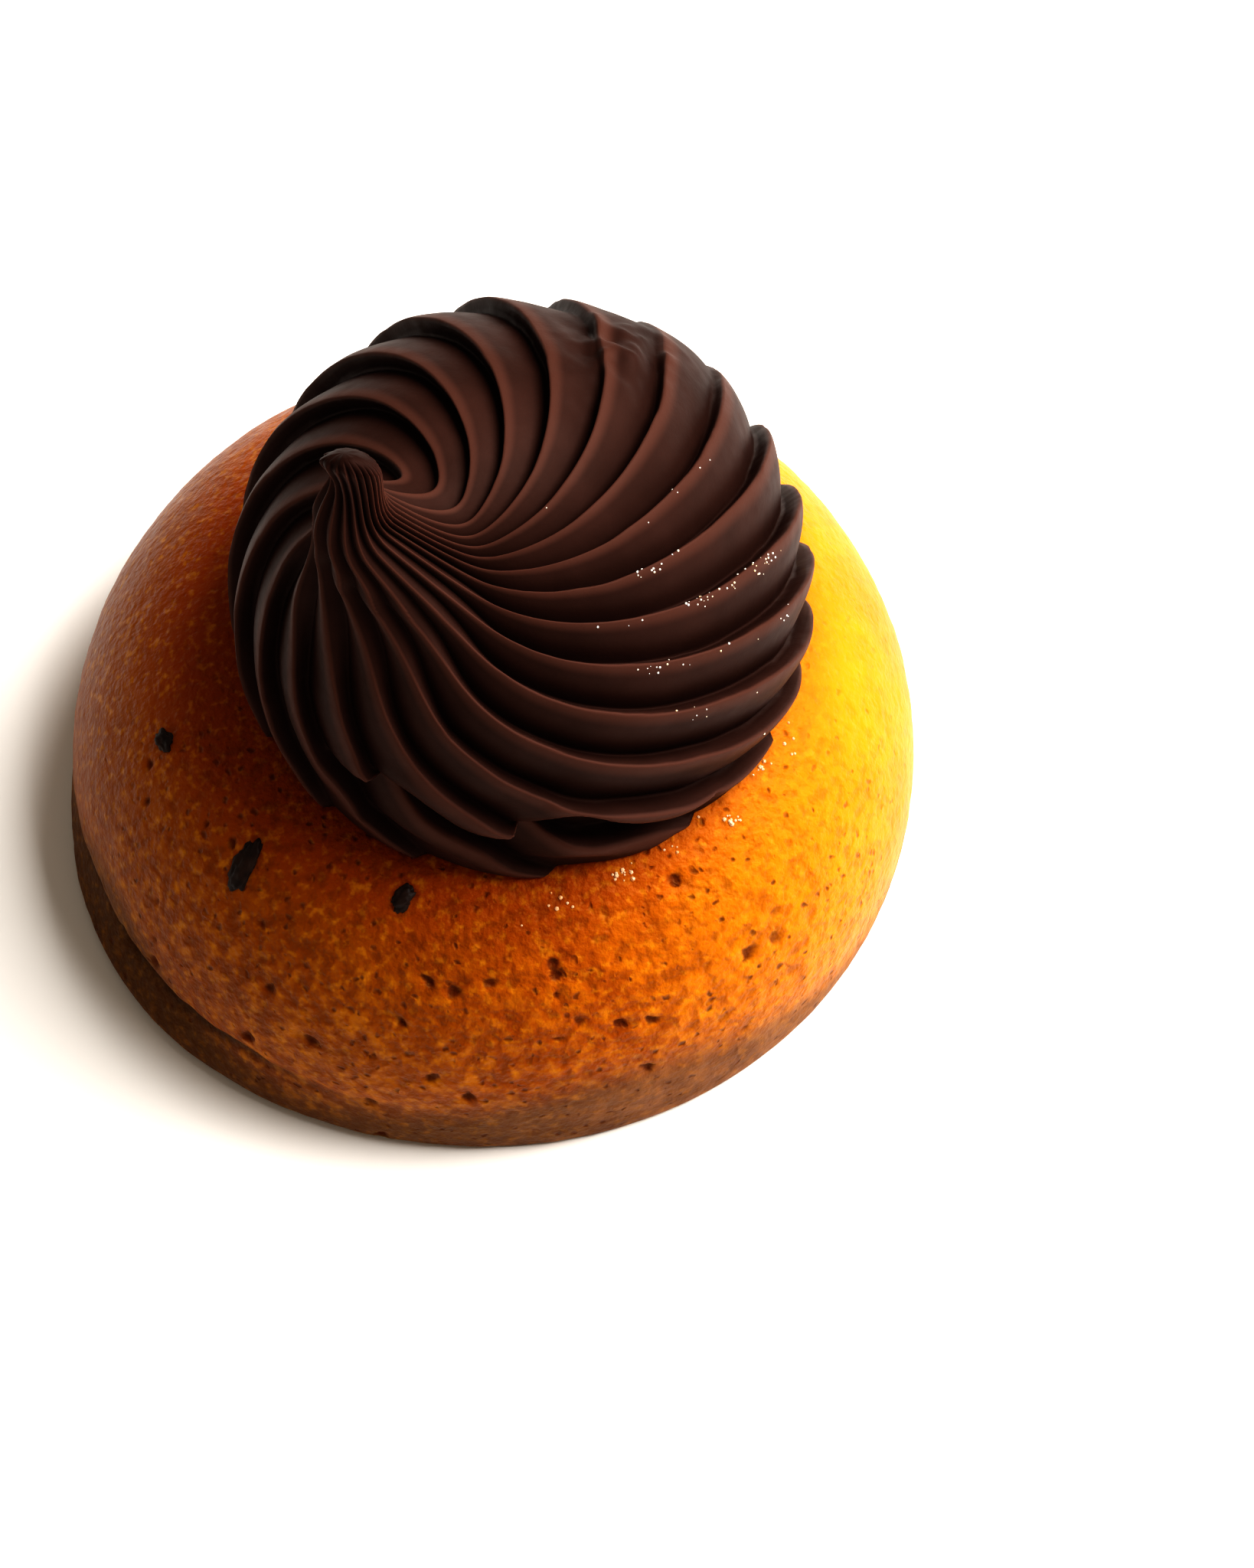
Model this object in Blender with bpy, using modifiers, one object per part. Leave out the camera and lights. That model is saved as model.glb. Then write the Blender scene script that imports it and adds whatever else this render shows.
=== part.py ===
"""A tigre: a small almond cake baked in a ring mould, with a swirl of chocolate ganache piped into its well.

Two solids: the sponge, with the chocolate flecks in its crust, and the ganache, whose ridges wind round a
leaning mound and run up its bent tip. Units are metres. The origin is the middle of the base, on the surface
that the cake stands on, and the tip leans towards -X.
"""
import math
import random

import bmesh
import bpy
import numpy as np
from mathutils import Matrix, Vector, noise

MM = 0.001
SEED = 11

# Sponge, turned round the origin
CAKE_RADIUS = 35.0 * MM
CAKE_HEIGHT = 24.5 * MM
CREST_RADIUS = 0.5 * CAKE_RADIUS
WIDEST_HEIGHT = 5.0 * MM
BASE_RADIUS = CAKE_RADIUS - 0.6 * MM
GAP = 0.3 * MM

# Crust: low relief, a lip of batter at the base on the left, and a crease over it
CRUST_STEPS = 88
DOME_ROWS = 15
FOOT_ROWS = 4
RELIEF = 0.22 * MM
RELIEF_START = 24.5 * MM
RELIEF_FULL = 28.0 * MM
COARSE_CRUMB = 420.0
FINE_CRUMB = 900.0
LIP = 1.5 * MM
LIP_AZIMUTH = math.radians(-150.0)
LIP_SPREAD = math.radians(34.0)
LIP_HEIGHT = 2.6 * MM
CREASE = 0.5 * MM
CREASE_HEIGHT = 6.6 * MM
CREASE_SPREAD = 1.3 * MM

# Chocolate flecks in the crust: azimuth in degrees, distance from the middle, length and width in millimetres
FLECKS = (
    (-135.0, 27.4, 4.2, 2.0),
    (-163.0, 27.0, 2.1, 1.5),
    (-106.0, 24.8, 2.4, 1.5),
)
FLECK_THICKNESS = 0.9 * MM
FLECK_PROUD = 0.12 * MM
FLECK_UNEVEN = 0.28

# Ganache: a round mound on a leaning axis
MOUND_CENTRE = Vector((3.2, -0.6, 30.4)) * MM
MOUND_RADIUS = 23.3 * MM
LEAN = math.radians(29.3)
LEAN_AZIMUTH = math.radians(236.6)

# Ridges: a long flank falls from each crest to a valley that the next crest leans over
RIDGES = 19
RIDGE_DEPTH = 2.1 * MM
RIDGE_DEPTH_CURVE = 0.65
RIDGE_LEAN = 0.65
VALLEY = 6.0 / 7.0
FLANK_CURVE = 1.25

# Twist: the further a ridge runs from the axis, the further round it has turned
FIRST_RIDGE = math.radians(134.0)
TWIST = math.radians(131.0)
TWIST_FADE = math.radians(34.0)
TWIST_REACH = math.radians(100.0)
CROWDING = math.radians(21.7)
CROWDING_TURN = math.radians(22.5)
UNEVEN_TWIST = 0.27
UNEVEN_TWIST_TURN = math.radians(-15.0)

# Tip: the middle of the mound is pulled up into a blunt bent neck, further out on the left than on the right
TIP_PULL = Vector((-9.3, 2.5, 9.0)) * MM
TIP_HOOK = Vector((3.4, 0.5, 0.4)) * MM
TIP_HOOK_START = 0.62
TIP_SPREAD = math.radians(14.0)
TIP_SKEW = math.radians(7.5)
TIP_SKEW_TURN = math.radians(-45.0)
TIP_EASE = 0.17
TIP_RADIUS = 2.35 * MM
TIP_CAP = math.radians(1.4)
TIP_BLEND = 1.2 * MM
TIP_SMOOTH = math.radians(3.0)
MOUND_START = 0.9
MOUND_FULL = 2.2

# Two ridges run together at the back
MERGED_AXIS = math.radians(62.0)
MERGED_TURN = math.radians(176.0)
MERGED_HEIGHT = math.radians(13.0)
MERGED_WIDTH = math.radians(10.0)
MERGED_SHARE = 0.85

# Fold: the top turn overhangs the first turn of piping at the front
FOLD_DEPTH = 2.4 * MM
FOLD_CURVE = 1.1
FOLD_EDGE = 0.35 * MM
FOLD_LEVEL = math.radians(87.5)
FOLD_RISE = math.radians(6.0)
FOLD_RISE_AZIMUTH = math.radians(-81.0)
FOLD_RISE_SPREAD = math.radians(7.5)
FOLD_LEFT = math.radians(8.5)
FOLD_LEFT_SPAN = (math.radians(-98.0), math.radians(-114.0))
FOLD_FAR_LEFT = math.radians(4.0)
FOLD_FAR_LEFT_SPAN = (math.radians(-118.0), math.radians(-134.0))
FOLD_RIGHT = math.radians(8.0)
FOLD_RIGHT_SPAN = (math.radians(-77.0), math.radians(-55.0))
FOLD_LEFT_END = (math.radians(-134.0), math.radians(-120.0))
FOLD_RIGHT_END = (math.radians(-48.0), math.radians(-60.0))
FOLD_WIDTH = math.radians(15.0)
FOLD_WALL = (-0.12, 0.2)
FOLD_LIP_PLACE = -0.2
FOLD_LIP_SPREAD = 0.25

COLUMNS_A_RIDGE = 7
MOUND_ROWS = 46
ROW_CROWDING = 1.3

SPONGE_COLOUR = (0.72, 0.33, 0.055, 1.0)
GANACHE_COLOUR = (0.055, 0.024, 0.017, 1.0)


def smooth_step(low, high, value):
    """0 below low, 1 above high, and an even S between them."""
    t = np.clip((value - low) / (high - low), 0.0, 1.0)
    return t * t * (3.0 - 2.0 * t)


def new_collection(name):
    """A collection in the scene."""
    collection = bpy.data.collections.new(name)
    bpy.context.scene.collection.children.link(collection)
    return collection


def new_object(name, mesh, collection):
    """A mesh object in a collection."""
    made = bpy.data.objects.new(name, mesh)
    collection.objects.link(made)
    return made


def mesh_from(shape, name):
    """A bmesh as a mesh with its faces pointing out."""
    bmesh.ops.recalc_face_normals(shape, faces=shape.faces)
    mesh = bpy.data.meshes.new(name)
    shape.to_mesh(mesh)
    shape.free()
    return mesh


def applied(obj, collection):
    """A new object of the same name with the modifiers of obj applied; obj is removed."""
    bpy.context.view_layer.update()
    evaluated = obj.evaluated_get(bpy.context.evaluated_depsgraph_get())
    mesh = bpy.data.meshes.new_from_object(evaluated)
    name = obj.name
    bpy.data.objects.remove(obj)
    mesh.name = name
    return new_object(name, mesh, collection)


def finish(colour, roughness, name):
    """A plain Principled material."""
    material = bpy.data.materials.new(name)
    material.use_nodes = True
    shader = material.node_tree.nodes["Principled BSDF"]
    shader.inputs["Base Color"].default_value = colour
    shader.inputs["Roughness"].default_value = roughness
    shader.inputs["Metallic"].default_value = 0.0
    return material


def dress(obj, material):
    """One material all over, and smooth shading."""
    obj.data.materials.clear()
    obj.data.materials.append(material)
    obj.data.shade_smooth()


def crust_height(radius):
    """The height of the dome at a distance from the middle."""
    across = min(max((radius - CREST_RADIUS) / (CAKE_RADIUS - CREST_RADIUS), 0.0), 1.0)
    return WIDEST_HEIGHT + (CAKE_HEIGHT - WIDEST_HEIGHT) * math.sqrt(1.0 - across * across)


def crust_profile(offset):
    """The sponge's outline, grown by offset, as (radius, height) pairs from the top to the bottom."""
    points = [(0.0, CAKE_HEIGHT + offset), (0.5 * CREST_RADIUS, CAKE_HEIGHT + offset)]
    for row in range(DOME_ROWS + 1):
        angle = 0.5 * math.pi * row / DOME_ROWS
        radius = CREST_RADIUS + (CAKE_RADIUS - CREST_RADIUS + offset) * math.sin(angle)
        height = WIDEST_HEIGHT + (CAKE_HEIGHT - WIDEST_HEIGHT + offset) * math.cos(angle)
        points.append((radius, height))
    for row in range(1, FOOT_ROWS + 1):
        angle = 0.5 * math.pi * row / FOOT_ROWS
        radius = BASE_RADIUS + (CAKE_RADIUS - BASE_RADIUS + offset) * math.cos(angle)
        points.append((radius, WIDEST_HEIGHT - (WIDEST_HEIGHT + offset) * math.sin(angle)))
    points.append((0.5 * BASE_RADIUS, -offset))
    points.append((0.0, -offset))
    return points


def turned_crust(name, offset, steps, collection):
    """The sponge's outline turned round the Z axis."""
    profile = bpy.data.meshes.new(name)
    points = [(radius, 0.0, height) for radius, height in crust_profile(offset)]
    edges = [(index, index + 1) for index in range(len(points) - 1)]
    profile.from_pydata(points, edges, [])
    turned = new_object(name, profile, collection)
    screw = turned.modifiers.new("Turn", "SCREW")
    screw.axis = "Z"
    screw.steps = steps
    screw.render_steps = steps
    screw.use_merge_vertices = True
    screw.merge_threshold = 0.00001
    return applied(turned, collection)


def crust_relief(place):
    """How far a point of the crust stands out of the turned form."""
    radius = math.hypot(place.x, place.y)
    azimuth = math.atan2(place.y, place.x)
    from_lip = (azimuth - LIP_AZIMUTH + math.pi) % (2.0 * math.pi) - math.pi
    by_side = math.exp(-(from_lip / LIP_SPREAD) ** 2)
    lip = LIP * by_side * float(smooth_step(2.0 * LIP_HEIGHT, 0.5 * LIP_HEIGHT, place.z))
    crease = CREASE * by_side * math.exp(-((place.z - CREASE_HEIGHT) / CREASE_SPREAD) ** 2)
    crumb = 0.6 * noise.noise(place * COARSE_CRUMB) + 0.4 * noise.noise(place * FINE_CRUMB)
    shown = float(smooth_step(RELIEF_START, RELIEF_FULL, radius))
    return shown * (RELIEF * crumb + lip - crease)


def make_fleck(azimuth, radius, length, width, turn, collection):
    """A flake of chocolate lying in the crust, as a squashed ball with uneven sides."""
    ball = bmesh.new()
    size = Matrix.Diagonal((0.5 * length, 0.5 * width, 0.5 * FLECK_THICKNESS, 1.0))
    bmesh.ops.create_icosphere(ball, subdivisions=2, radius=1.0)
    for vert in ball.verts:
        vert.co *= 1.0 + FLECK_UNEVEN * noise.noise(vert.co * 1.3 + Vector((azimuth, turn, 0.0)))
    slope = Vector((math.cos(azimuth), math.sin(azimuth), 0.0))
    rise = (crust_height(radius + MM) - crust_height(radius - MM)) / (2.0 * MM)
    up = Vector((-rise * slope.x, -rise * slope.y, 1.0)).normalized()
    lying = up.to_track_quat("Z", "Y").to_matrix().to_4x4()
    place = slope * radius + Vector((0.0, 0.0, crust_height(radius))) + up * FLECK_PROUD
    ball.transform(Matrix.Translation(place) @ lying @ Matrix.Rotation(turn, 4, "Z") @ size)
    return new_object("Fleck", mesh_from(ball, "Fleck"), collection)


def joined(name, first, others, collection):
    """One solid from first and a collection of others that dip into it."""
    union = first.modifiers.new("Union", "BOOLEAN")
    union.operation = "UNION"
    union.operand_type = "COLLECTION"
    union.collection = others
    union.solver = "EXACT"
    whole = applied(first, collection)
    whole.name = name
    for used in list(others.objects):
        bpy.data.objects.remove(used)
    bpy.data.collections.remove(others)
    return whole


def make_sponge(collection):
    """The ring-mould cake: a turned dome with a crumbly crust, a lip at the base and flecks of chocolate."""
    sponge = turned_crust("sponge", 0.0, CRUST_STEPS, collection)
    for vert in sponge.data.vertices:
        if vert.co.z < 0.1 * MM:
            continue
        outwards = Vector((vert.co.x, vert.co.y, 0.0)).normalized()
        vert.co += outwards * crust_relief(vert.co)
    draw = random.Random(SEED)
    flecks = new_collection("Flecks")
    for degrees, radius, length, width in FLECKS:
        turn = draw.uniform(0.0, math.pi)
        make_fleck(math.radians(degrees), radius * MM, length * MM, width * MM, turn, flecks)
    return joined("sponge", sponge, flecks, collection)


def mound_axes():
    """The mound's axis, and the two directions across it."""
    outward = Vector((math.cos(LEAN_AZIMUTH), math.sin(LEAN_AZIMUTH), 0.0))
    upward = Vector((0.0, 0.0, 1.0))
    axis = math.sin(LEAN) * outward + math.cos(LEAN) * upward
    down = math.cos(LEAN) * outward - math.sin(LEAN) * upward
    across = Vector((-math.sin(LEAN_AZIMUTH), math.cos(LEAN_AZIMUTH), 0.0))
    return np.array(axis), np.array(down), np.array(across)


def bell(value):
    """1 where the value is 0, and close to 0 past 2 on either side."""
    return np.exp(-(value**2))


def wrapped(angle):
    """An angle brought between -pi and pi."""
    return (angle + math.pi) % (2.0 * math.pi) - math.pi


def furrow_shape(ridge):
    """0 on a crest, 1 in a valley: a long flank falls to the valley and a short wall climbs again."""
    part = (np.rint(ridge * COLUMNS_A_RIDGE) / COLUMNS_A_RIDGE) % 1.0
    return np.minimum((part / VALLEY) ** FLANK_CURVE, (1.0 - part) / (1.0 - VALLEY))


def neck_pull(from_axis, turn):
    """1 at the end of the tip, falling to 0 where the neck runs out onto the mound."""
    reach = TIP_SPREAD + TIP_SKEW * np.cos(turn - TIP_SKEW_TURN)
    return reach, TIP_EASE * np.log1p(np.exp((1.0 - from_axis / reach) / TIP_EASE))


def neck_widening(from_axis):
    """How much further out than the round mound the neck stands, so that its end is blunt."""
    across = MOUND_RADIUS * np.sin(from_axis)
    stem = TIP_RADIUS * np.sqrt(np.minimum(from_axis / TIP_CAP, 1.0))
    blend = np.maximum(TIP_BLEND - np.abs(across - stem), 0.0) / TIP_BLEND
    return np.maximum(across, stem) + blend**3 * TIP_BLEND / 6.0 - across


def fold_shape(places):
    """How far out points on the mound move: in under the top turn's edge, and a little out along the edge."""
    x, y, z = (places - np.array(MOUND_CENTRE)).T
    azimuth = np.arctan2(y, x)
    level = np.arccos(z / np.sqrt(x**2 + y**2 + z**2))
    edge = FOLD_LEVEL - FOLD_RISE * bell((azimuth - FOLD_RISE_AZIMUTH) / FOLD_RISE_SPREAD)
    edge = edge - FOLD_LEFT * smooth_step(*FOLD_LEFT_SPAN, azimuth)
    edge = edge + FOLD_FAR_LEFT * smooth_step(*FOLD_FAR_LEFT_SPAN, azimuth)
    edge = edge + FOLD_RIGHT * smooth_step(*FOLD_RIGHT_SPAN, azimuth)
    reach = smooth_step(*FOLD_LEFT_END, azimuth) * smooth_step(*FOLD_RIGHT_END, azimuth)
    under = (level - edge) / FOLD_WIDTH
    gap = smooth_step(*FOLD_WALL, under) * np.maximum(1.0 - under, 0.0) ** FOLD_CURVE
    lip = bell((under - FOLD_LIP_PLACE) / FOLD_LIP_SPREAD)
    return reach * (FOLD_EDGE * lip - FOLD_DEPTH * gap)


def swirl(from_axis, ridge):
    """Points of the ganache: from_axis is the angle from the leaning axis, ridge the number of the ridge."""
    axis, down, across = mound_axes()
    start = FIRST_RIDGE - 2.0 * math.pi * ridge / RIDGES
    spread = from_axis / TWIST_REACH
    uneven = 1.0 + UNEVEN_TWIST * np.sin(start + UNEVEN_TWIST_TURN)
    twist = (TWIST * spread - TWIST_FADE * spread**2) * uneven
    turn = start - CROWDING * np.sin(start + CROWDING_TURN) + twist - LEAN_AZIMUTH
    sideways = np.cos(turn)[:, None] * down + np.sin(turn)[:, None] * across
    clockwise = np.sin(turn)[:, None] * down - np.cos(turn)[:, None] * across
    outwards = np.cos(from_axis)[:, None] * axis + np.sin(from_axis)[:, None] * sideways

    reach, pull = neck_pull(from_axis, turn)
    places = np.array(MOUND_CENTRE) + MOUND_RADIUS * outwards + neck_widening(from_axis)[:, None] * sideways
    hook = smooth_step(TIP_HOOK_START, 1.0, pull)
    places = places + pull[:, None] * np.array(TIP_PULL) + hook[:, None] * np.array(TIP_HOOK)

    on_mound = smooth_step(MOUND_START * reach, MOUND_FULL * reach, from_axis)[:, None]
    carve = on_mound * (outwards - RIDGE_LEAN * clockwise) + (1.0 - on_mound) * sideways
    depth = RIDGE_DEPTH * np.sin(np.minimum(from_axis, 0.5 * math.pi)) ** RIDGE_DEPTH_CURVE
    depth = depth * smooth_step(0.0, TIP_SMOOTH, from_axis)
    merged = bell((from_axis - MERGED_AXIS) / MERGED_HEIGHT)
    merged = merged * bell(wrapped(turn - MERGED_TURN) / MERGED_WIDTH)
    depth = depth * (1.0 - MERGED_SHARE * merged)
    furrow = depth * furrow_shape(ridge)
    return places - carve * furrow[:, None] + outwards * fold_shape(places)[:, None]


def make_ganache(collection):
    """The swirl, cut where it sits on the crust, with a small gap all round."""
    ball = bmesh.new()
    bmesh.ops.create_uvsphere(ball, u_segments=RIDGES * COLUMNS_A_RIDGE, v_segments=MOUND_ROWS, radius=1.0)
    unit = np.array([vert.co for vert in ball.verts])
    from_axis = math.pi * (np.arccos(np.clip(unit[:, 2], -1.0, 1.0)) / math.pi) ** ROW_CROWDING
    ridge = np.arctan2(unit[:, 1], unit[:, 0]) * RIDGES / (2.0 * math.pi)
    for vert, place in zip(ball.verts, swirl(from_axis, -ridge)):
        vert.co = place
    ganache = new_object("ganache", mesh_from(ball, "ganache"), collection)

    cutters = new_collection("Cutters")
    crust = turned_crust("Crust cutter", GAP, CRUST_STEPS, cutters)
    crust.hide_render = True
    crust.display_type = "WIRE"
    cut = ganache.modifiers.new("Seat", "BOOLEAN")
    cut.operation = "DIFFERENCE"
    cut.object = crust
    cut.solver = "EXACT"
    ganache = applied(ganache, collection)
    bpy.data.objects.remove(crust)
    bpy.data.collections.remove(cutters)
    return ganache


def main():
    for obj in list(bpy.data.objects):
        bpy.data.objects.remove(obj)
    tigre = new_collection("Tigre")
    dress(make_sponge(tigre), finish(SPONGE_COLOUR, 0.5, "Golden crust"))
    dress(make_ganache(tigre), finish(GANACHE_COLOUR, 0.38, "Dark ganache"))


main()
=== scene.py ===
import math

import bmesh
import bpy
from mathutils import Matrix, Vector, noise


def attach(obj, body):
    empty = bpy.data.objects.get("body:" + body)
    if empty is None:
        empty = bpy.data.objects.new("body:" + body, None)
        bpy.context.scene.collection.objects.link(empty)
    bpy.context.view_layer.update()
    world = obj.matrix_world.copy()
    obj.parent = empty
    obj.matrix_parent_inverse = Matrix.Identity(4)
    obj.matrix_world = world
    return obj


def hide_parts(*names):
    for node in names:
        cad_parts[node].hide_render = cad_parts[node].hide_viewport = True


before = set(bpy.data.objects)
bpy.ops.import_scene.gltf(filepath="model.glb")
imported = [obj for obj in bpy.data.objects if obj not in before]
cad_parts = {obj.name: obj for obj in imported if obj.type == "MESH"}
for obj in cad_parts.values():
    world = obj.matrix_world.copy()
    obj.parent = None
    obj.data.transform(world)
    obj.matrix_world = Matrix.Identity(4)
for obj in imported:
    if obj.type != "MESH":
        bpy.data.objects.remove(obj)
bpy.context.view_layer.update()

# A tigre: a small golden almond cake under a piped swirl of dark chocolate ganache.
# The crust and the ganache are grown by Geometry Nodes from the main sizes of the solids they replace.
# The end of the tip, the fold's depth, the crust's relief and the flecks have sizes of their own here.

MM = 0.001
SEED = 11

# Sponge
CAKE_RADIUS = 35.0 * MM
CAKE_HEIGHT = 24.5 * MM
CREST_RADIUS = 0.5 * CAKE_RADIUS
WIDEST_HEIGHT = 5.0 * MM
BASE_RADIUS = CAKE_RADIUS - 0.6 * MM
GAP = 0.3 * MM

# Where the crust's rows pass from one stretch to the next: 0 is the middle of the top, 1 of the underside
DOME_START = 0.07
FOOT_START = 0.82
UNDER_START = 0.94

# Relief of the crust: crumb, a lip of batter at the foot on the left, a seam above it, pits and pricks
RELIEF = 0.22 * MM
RELIEF_SPAN = (23.5 * MM, 26.5 * MM)
OFF_BASE = (0.02 * MM, 0.6 * MM)
LIP = 1.5 * MM
LIP_AZIMUTH = math.radians(-150.0)
LIP_SPREAD = math.radians(34.0)
LIP_SPAN = (5.2 * MM, 1.3 * MM)
SEAM_DEPTH = 0.8 * MM
SEAM_HEIGHT = 6.0 * MM
SEAM_WANDER = 1.2 * MM
SEAM_SPREAD = 0.9 * MM
PIT_DEPTH = 0.42 * MM
PIT_SPAN = (4.0 * MM, 7.0 * MM)
PIT_SHIFT = 0.9 * MM
PIT_SCALE = 400.0
PIT_RARITY = (0.86, 0.95)
PIT_EDGE = (0.34, 0.12)
PRICK_SHIFT = 0.45 * MM
PRICK_SCALE = 880.0

# Brown foot of the crust: its height, how much higher it reaches at the front and at the lip, and its fade
FOOT_HEIGHT = 2.5 * MM
FOOT_FRONT = 7.6 * MM
FOOT_FRONT_AZIMUTH = math.radians(-74.0)
FOOT_FRONT_SPREAD = math.radians(30.0)
FOOT_LIP = 8.0 * MM
FOOT_LIP_AZIMUTH = math.radians(-154.0)
FOOT_LIP_SPREAD = math.radians(22.0)
FOOT_FADE = (2.2 * MM, -3.0 * MM)
FOOT_WANDER = 1.3 * MM
FOOT_FINE_WANDER = 0.9 * MM
# Painted shade on the brown lip at the foot on the left: how far round it spreads, and the heights where it
# fades in
LIP_SHADE_SPREAD = math.radians(30.0)
LIP_SHADE_SPAN = (7.5 * MM, 4.0 * MM)
BROWNING_SPAN = (29.5 * MM, 23.0 * MM)
BROWNING_WANDER = 2.5 * MM
CRUMBLY_SPAN = (22.0 * MM, 15.0 * MM)

# Ganache mound on its leaning axis
MOUND_CENTRE = Vector((3.2, -0.6, 30.4)) * MM
MOUND_RADIUS = 23.3 * MM
LEAN = math.radians(29.3)
LEAN_AZIMUTH = math.radians(236.6)
LEAN_SIDE = Vector((math.cos(LEAN_AZIMUTH), math.sin(LEAN_AZIMUTH), 0.0))
UP = Vector((0.0, 0.0, 1.0))
AXIS = math.sin(LEAN) * LEAN_SIDE + math.cos(LEAN) * UP
DOWN = math.cos(LEAN) * LEAN_SIDE - math.sin(LEAN) * UP
ACROSS = Vector((-math.sin(LEAN_AZIMUTH), math.cos(LEAN_AZIMUTH), 0.0))
SEAT_GUESS = math.radians(105.0)
SEAT_ROUNDS = 4

# Ridges: a long flank falls from each crest to a valley, and the next crest leans over it
RIDGES = 19
RIDGE_DEPTH = 2.1 * MM
RIDGE_DEPTH_CURVE = 0.65
RIDGE_LEAN = 0.65
VALLEY = 6.0 / 7.0
FLANK_CURVE = 1.25
VALLEY_ROUNDING = 0.1
CREST_ROUNDING = 0.0632
SHALLOWER_AT_SEAT = 0.6
SEAT_SPAN = (0.90, 1.0)
SHALLOWER_AT_BACK = 0.3
BACK_SPAN = (0.3, 0.9)
DEEPER_ON_TIP = 0.6

# Unevenness of the ridges: a share of their depth, wandering in widths of a ridge, and a swell
UNEVEN_DEPTH = 0.22
WANDER = 0.06
FINE_WANDER = 0.012
SWELL = 0.25 * MM

# Twist: the further a ridge runs from the axis, the further round it has turned
FIRST_RIDGE = math.radians(134.0)
TWIST = math.radians(131.0)
TWIST_FADE = math.radians(34.0)
TWIST_REACH = math.radians(100.0)
CROWDING = math.radians(21.7)
CROWDING_TURN = math.radians(22.5)
UNEVEN_TWIST = 0.27
UNEVEN_TWIST_TURN = math.radians(-15.0)

# Bent tip: the middle of the mound is pulled up into a neck with a blunt end
TIP_PULL = Vector((-9.3, 2.5, 9.0)) * MM
TIP_HOOK = Vector((3.4, 0.8, 0.55)) * MM
TIP_HOOK_START = 0.45
TIP_SPREAD = math.radians(14.0)
TIP_SKEW = math.radians(7.5)
TIP_SKEW_TURN = math.radians(-45.0)
TIP_EASE = 0.17
TIP_LIMIT = 0.98
TIP_LIMIT_EASE = 0.05
TIP_RADIUS = 2.0 * MM
TIP_BLEND = 1.2 * MM
TIP_CAP = math.radians(1.4)
# Angles from the axis over which the tip's very end takes the valleys' painted shade
TIP_SHADE = (math.radians(0.7), math.radians(1.6))
TIP_LUMPS = 0.5 * MM
TIP_LUMPS_SPAN = (0.75, 0.95)

# Where the neck gives way to the mound, in multiples of the neck's reach
MOUND_SPAN = (0.9, 2.2)

# End of the tip: the width of its rings up a slope is turned over towards the back, so that it is blunt
TILT = math.radians(65.0)
TILT_SPAN = (0.45, 0.92)
SLOPE = math.radians(60.0)
SLOPE_RISE = Vector((0.0, math.sin(SLOPE), math.cos(SLOPE)))
SLOPE_FACE = Vector((0.0, -math.cos(SLOPE), math.sin(SLOPE)))

# A knuckle on the neck, where the ridges jog, a curl at its very end, and ridges that fan out below it
KNUCKLE = 0.25 * MM
KNUCKLE_PLACE = math.radians(14.0)
KNUCKLE_SPREAD = math.radians(1.5)
KNUCKLE_TURN = math.radians(-10.0)
KNUCKLE_WIDTH = math.radians(40.0)
KNUCKLE_JOG = 0.25
CURL = 0.5 * MM
CURL_PLACE = math.radians(1.9)
CURL_SPREAD = math.radians(1.1)
CURL_TURN = math.radians(-60.0)
CURL_WIDTH = math.radians(42.0)
FAN = Vector((-1.1, -0.2, 0.0)) * MM
FAN_PLACE = math.radians(25.0)
FAN_SPREAD = math.radians(9.0)
FAN_TURN = math.radians(-50.0)
FAN_WIDTH = math.radians(28.0)

# Two ridges run together at the back, in lumps, with a smear below them
MERGED_AXIS = math.radians(62.0)
MERGED_SPREAD = math.radians(13.0)
MERGED_TURN = math.radians(176.0)
MERGED_WIDTH = math.radians(10.0)
MERGED_SHARE = 0.85
MERGED_SWELL = 0.4 * MM
MERGED_LUMPS = 1.5 * MM
SMEAR_SPAN = (math.radians(60.0), math.radians(74.0))
SMEAR_WIDTH = math.radians(20.0)

# Fold: the top turn overhangs the first turn of piping at the front. Its level is an angle from straight up
FOLD_DEPTH = 2.8 * MM
FOLD_CURVE = 1.1
FOLD_WIDTH = math.radians(15.0)
FOLD_WALL = (-0.04, 0.07)
FOLD_LEVEL = math.radians(87.5)
FOLD_RISE = math.radians(6.0)
FOLD_RISE_AZIMUTH = math.radians(-81.0)
FOLD_RISE_SPREAD = math.radians(7.5)
FOLD_LEFT = math.radians(8.5)
FOLD_LEFT_SPAN = (math.radians(-98.0), math.radians(-114.0))
FOLD_FAR_LEFT = math.radians(4.0)
FOLD_FAR_LEFT_SPAN = (math.radians(-118.0), math.radians(-134.0))
FOLD_RIGHT = math.radians(8.0)
FOLD_RIGHT_SPAN = (math.radians(-77.0), math.radians(-55.0))
FOLD_LEFT_END = (math.radians(-134.0), math.radians(-120.0))
FOLD_RIGHT_END = (math.radians(-48.0), math.radians(-60.0))
FOLD_LIP = 0.35 * MM
FOLD_LIP_PLACE = -0.16
FOLD_LIP_SPREAD = 0.2

# Chocolate flecks: azimuth in degrees, radius, length and width in millimetres, and turn in degrees
FLECKS = (
    (-135.0, 27.4, 4.4, 1.9, 100.0),
    (-163.0, 27.0, 2.2, 1.5, 25.0),
    (-106.0, 24.8, 2.4, 1.5, 60.0),
)
FLECK_THICKNESS = 0.9 * MM

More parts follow.
